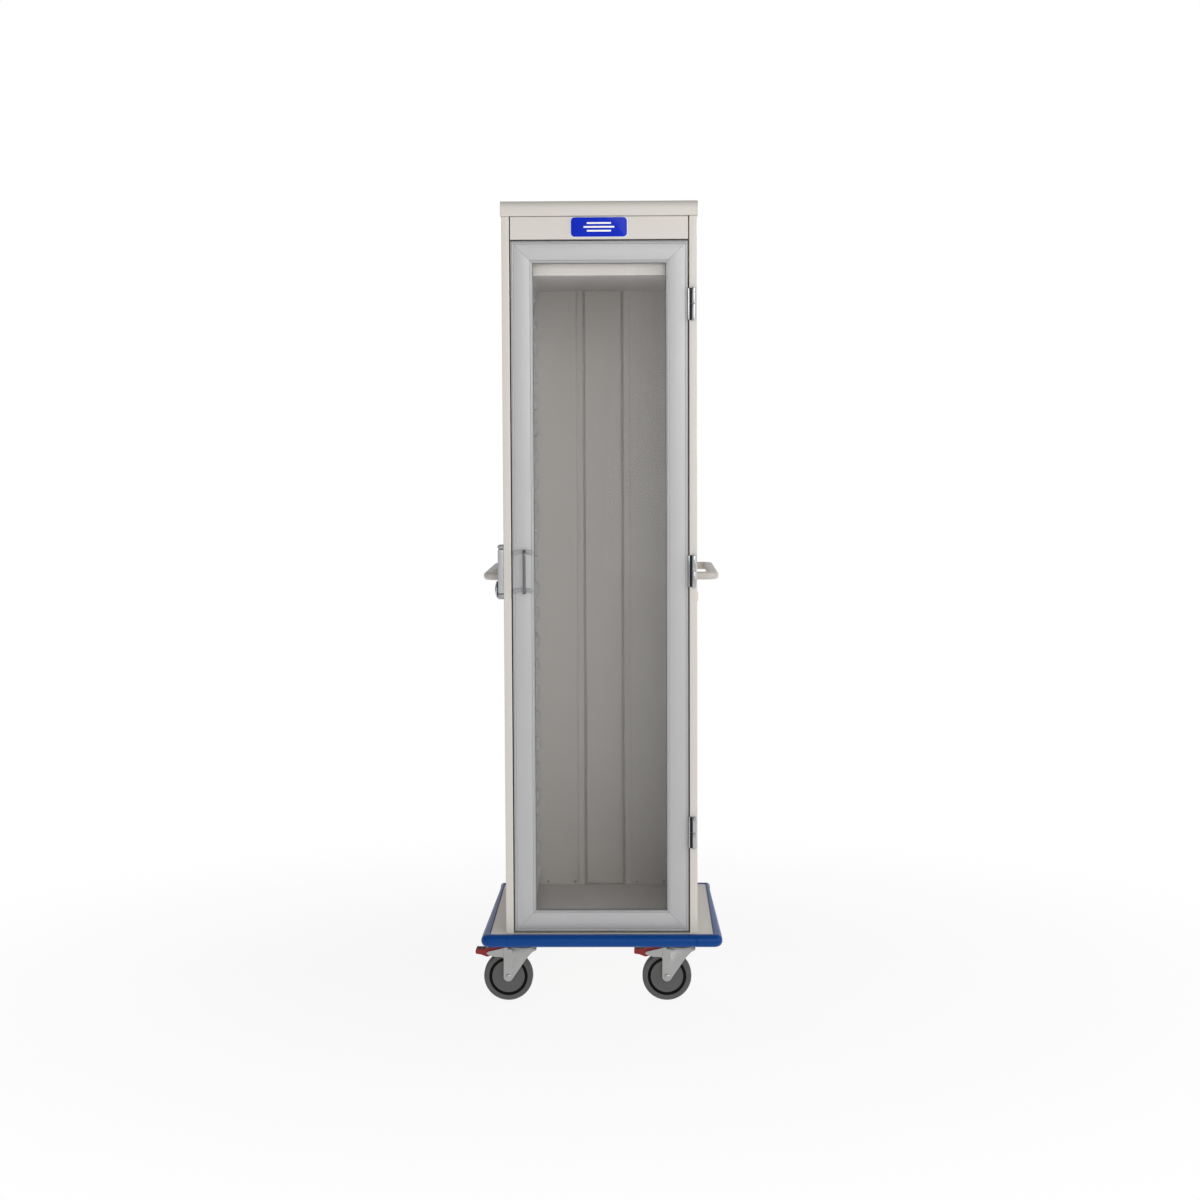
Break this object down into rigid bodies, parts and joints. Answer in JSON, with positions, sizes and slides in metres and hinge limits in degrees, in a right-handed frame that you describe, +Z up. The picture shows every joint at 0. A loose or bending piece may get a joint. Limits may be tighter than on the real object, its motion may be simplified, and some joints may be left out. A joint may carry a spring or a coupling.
{
  "type": "mobile tray cabinet",
  "caption": "Tall narrow mobile hospital cabinet with a glazed aluminium door, tray runners inside, side push handles and a bumpered base on swivel castors, braked at the front.",
  "frame": {"origin": "on the floor, at the middle of the whole object's footprint", "axes": "+Z up, -Y out of the door, +X towards the hinge side"},
  "size_m": [0.63, 0.7, 2.02],
  "materials": {
    "body_paint": "warm light grey powder coat, satin, fine orange peel",
    "inner_paint": "stone grey powder coat on the sheets inside",
    "anodised_aluminium": "satin natural anodised extrusion",
    "door_glass": "clear toughened glass",
    "seal_rubber": "grey glazing gasket",
    "runner_plastic": "light grey moulded ABS",
    "satin_silver": "silver lacquer over die casting",
    "polished_steel": "polished stainless steel",
    "handle_paint": "warm grey moulded grip, semi-gloss",
    "bumper_plastic": "blue extruded and moulded bumper",
    "badge_blue": "blue domed resin badge",
    "zinc_steel": "bright zinc plated pressed steel",
    "castor_tyre": "dark grey non-marking tread and wheel centre",
    "pedal_red": "dark red moulded pedal"
  },
  "bodies": {
    "cabinet": {"top_cap": "body_paint", "header_fascia": "body_paint", "name_badge": "badge_blue", "left_side_panel": "body_paint", "right_side_panel": "body_paint", "back_panel": "inner_paint", "back_channel_cover": "inner_paint", "ceiling_panel": "inner_paint", "floor_panel": "inner_paint", "left_tray_runners": "runner_plastic", "right_tray_runners": "runner_plastic", "lock_housing": "satin_silver", "left_push_handle": "handle_paint", "right_push_handle": "handle_paint", "base_plate": "body_paint", "bottom_hinge_frame_leaf": "polished_steel", "middle_hinge_frame_leaf": "polished_steel", "top_hinge_frame_leaf": "polished_steel", "bumper_front": "bumper_plastic", "bumper_rear": "bumper_plastic", "bumper_left": "bumper_plastic", "bumper_right": "bumper_plastic", "bumper_corner_front_left": "bumper_plastic", "front_left_castor_mount": "zinc_steel", "bumper_corner_front_right": "bumper_plastic", "front_right_castor_mount": "zinc_steel", "bumper_corner_rear_left": "bumper_plastic", "rear_left_castor_mount": "zinc_steel", "bumper_corner_rear_right": "bumper_plastic", "rear_right_castor_mount": "zinc_steel"},
    "door": {"door_frame_bottom": "anodised_aluminium", "door_frame_top": "anodised_aluminium", "door_frame_left": "anodised_aluminium", "door_frame_right": "anodised_aluminium", "door_glass": "door_glass", "door_glazing_seal": "seal_rubber", "door_pull_handle": "satin_silver", "bottom_hinge_door_leaf": "polished_steel", "middle_hinge_door_leaf": "polished_steel", "top_hinge_door_leaf": "polished_steel"},
    "lock_knob": {"lock_knob": "polished_steel"},
    "lock_bolt": {"lock_bolt": "polished_steel"},
    "front_left_castor_fork": {"front_left_castor_fork": "zinc_steel", "front_left_castor_axle": "zinc_steel"},
    "front_left_castor_wheel": {"front_left_castor_wheel": "castor_tyre"},
    "front_left_castor_brake_pedal": {"front_left_castor_brake_pedal": "pedal_red"},
    "front_right_castor_fork": {"front_right_castor_fork": "zinc_steel", "front_right_castor_axle": "zinc_steel"},
    "front_right_castor_wheel": {"front_right_castor_wheel": "castor_tyre"},
    "front_right_castor_brake_pedal": {"front_right_castor_brake_pedal": "pedal_red"},
    "rear_left_castor_fork": {"rear_left_castor_fork": "zinc_steel", "rear_left_castor_axle": "zinc_steel"},
    "rear_left_castor_wheel": {"rear_left_castor_wheel": "castor_tyre"},
    "rear_right_castor_fork": {"rear_right_castor_fork": "zinc_steel", "rear_right_castor_axle": "zinc_steel"},
    "rear_right_castor_wheel": {"rear_right_castor_wheel": "castor_tyre"}
  },
  "joints": [
    {"name": "door_swing", "type": "hinge", "parent": "cabinet", "child": "door", "pos_m": [0.243, -0.3155, 1.1], "axis": [0, 0, 1], "range_deg": [0, 225]},
    {"name": "lock_knob_turn", "type": "hinge", "parent": "cabinet", "child": "lock_knob", "pos_m": [-0.2488, -0.2805, 1.054], "axis": [1, 0, 0], "range_deg": [0, 90]},
    {"name": "lock_bolt_slide", "type": "slide", "parent": "cabinet", "child": "lock_bolt", "axis": [1, 0, 0], "range_m": [0, 0.012]},
    {"name": "front_left_castor_swivel", "type": "hinge", "parent": "cabinet", "child": "front_left_castor_fork", "pos_m": [-0.194, -0.2555, 0.145], "axis": [0, 0, 1], "continuous": true},
    {"name": "front_left_castor_wheel_spin", "type": "hinge", "parent": "front_left_castor_fork", "child": "front_left_castor_wheel", "pos_m": [-0.2313, -0.2555, 0.0625], "axis": [0, 1, 0], "continuous": true},
    {"name": "front_left_castor_brake_press", "type": "hinge", "parent": "front_left_castor_fork", "child": "front_left_castor_brake_pedal", "pos_m": [-0.2533, -0.2555, 0.13], "axis": [0, -1, 0], "range_deg": [0, 15]},
    {"name": "front_right_castor_swivel", "type": "hinge", "parent": "cabinet", "child": "front_right_castor_fork", "pos_m": [0.211, -0.2555, 0.145], "axis": [0, 0, 1], "continuous": true},
    {"name": "front_right_castor_wheel_spin", "type": "hinge", "parent": "front_right_castor_fork", "child": "front_right_castor_wheel", "pos_m": [0.1737, -0.2555, 0.0625], "axis": [0, 1, 0], "continuous": true},
    {"name": "front_right_castor_brake_press", "type": "hinge", "parent": "front_right_castor_fork", "child": "front_right_castor_brake_pedal", "pos_m": [0.1517, -0.2555, 0.13], "axis": [0, -1, 0], "range_deg": [0, 15]},
    {"name": "rear_left_castor_swivel", "type": "hinge", "parent": "cabinet", "child": "rear_left_castor_fork", "pos_m": [-0.194, 0.2555, 0.145], "axis": [0, 0, 1], "continuous": true},
    {"name": "rear_left_castor_wheel_spin", "type": "hinge", "parent": "rear_left_castor_fork", "child": "rear_left_castor_wheel", "pos_m": [-0.2313, 0.2555, 0.0625], "axis": [0, 1, 0], "continuous": true},
    {"name": "rear_right_castor_swivel", "type": "hinge", "parent": "cabinet", "child": "rear_right_castor_fork", "pos_m": [0.211, 0.2555, 0.145], "axis": [0, 0, 1], "continuous": true},
    {"name": "rear_right_castor_wheel_spin", "type": "hinge", "parent": "rear_right_castor_fork", "child": "rear_right_castor_wheel", "pos_m": [0.1737, 0.2555, 0.0625], "axis": [0, 1, 0], "continuous": true}
  ],
  "couplings": [
    {"joint": "lock_bolt_slide", "follows": "lock_knob_turn", "m_per_rad": 0.007639}
  ]
}
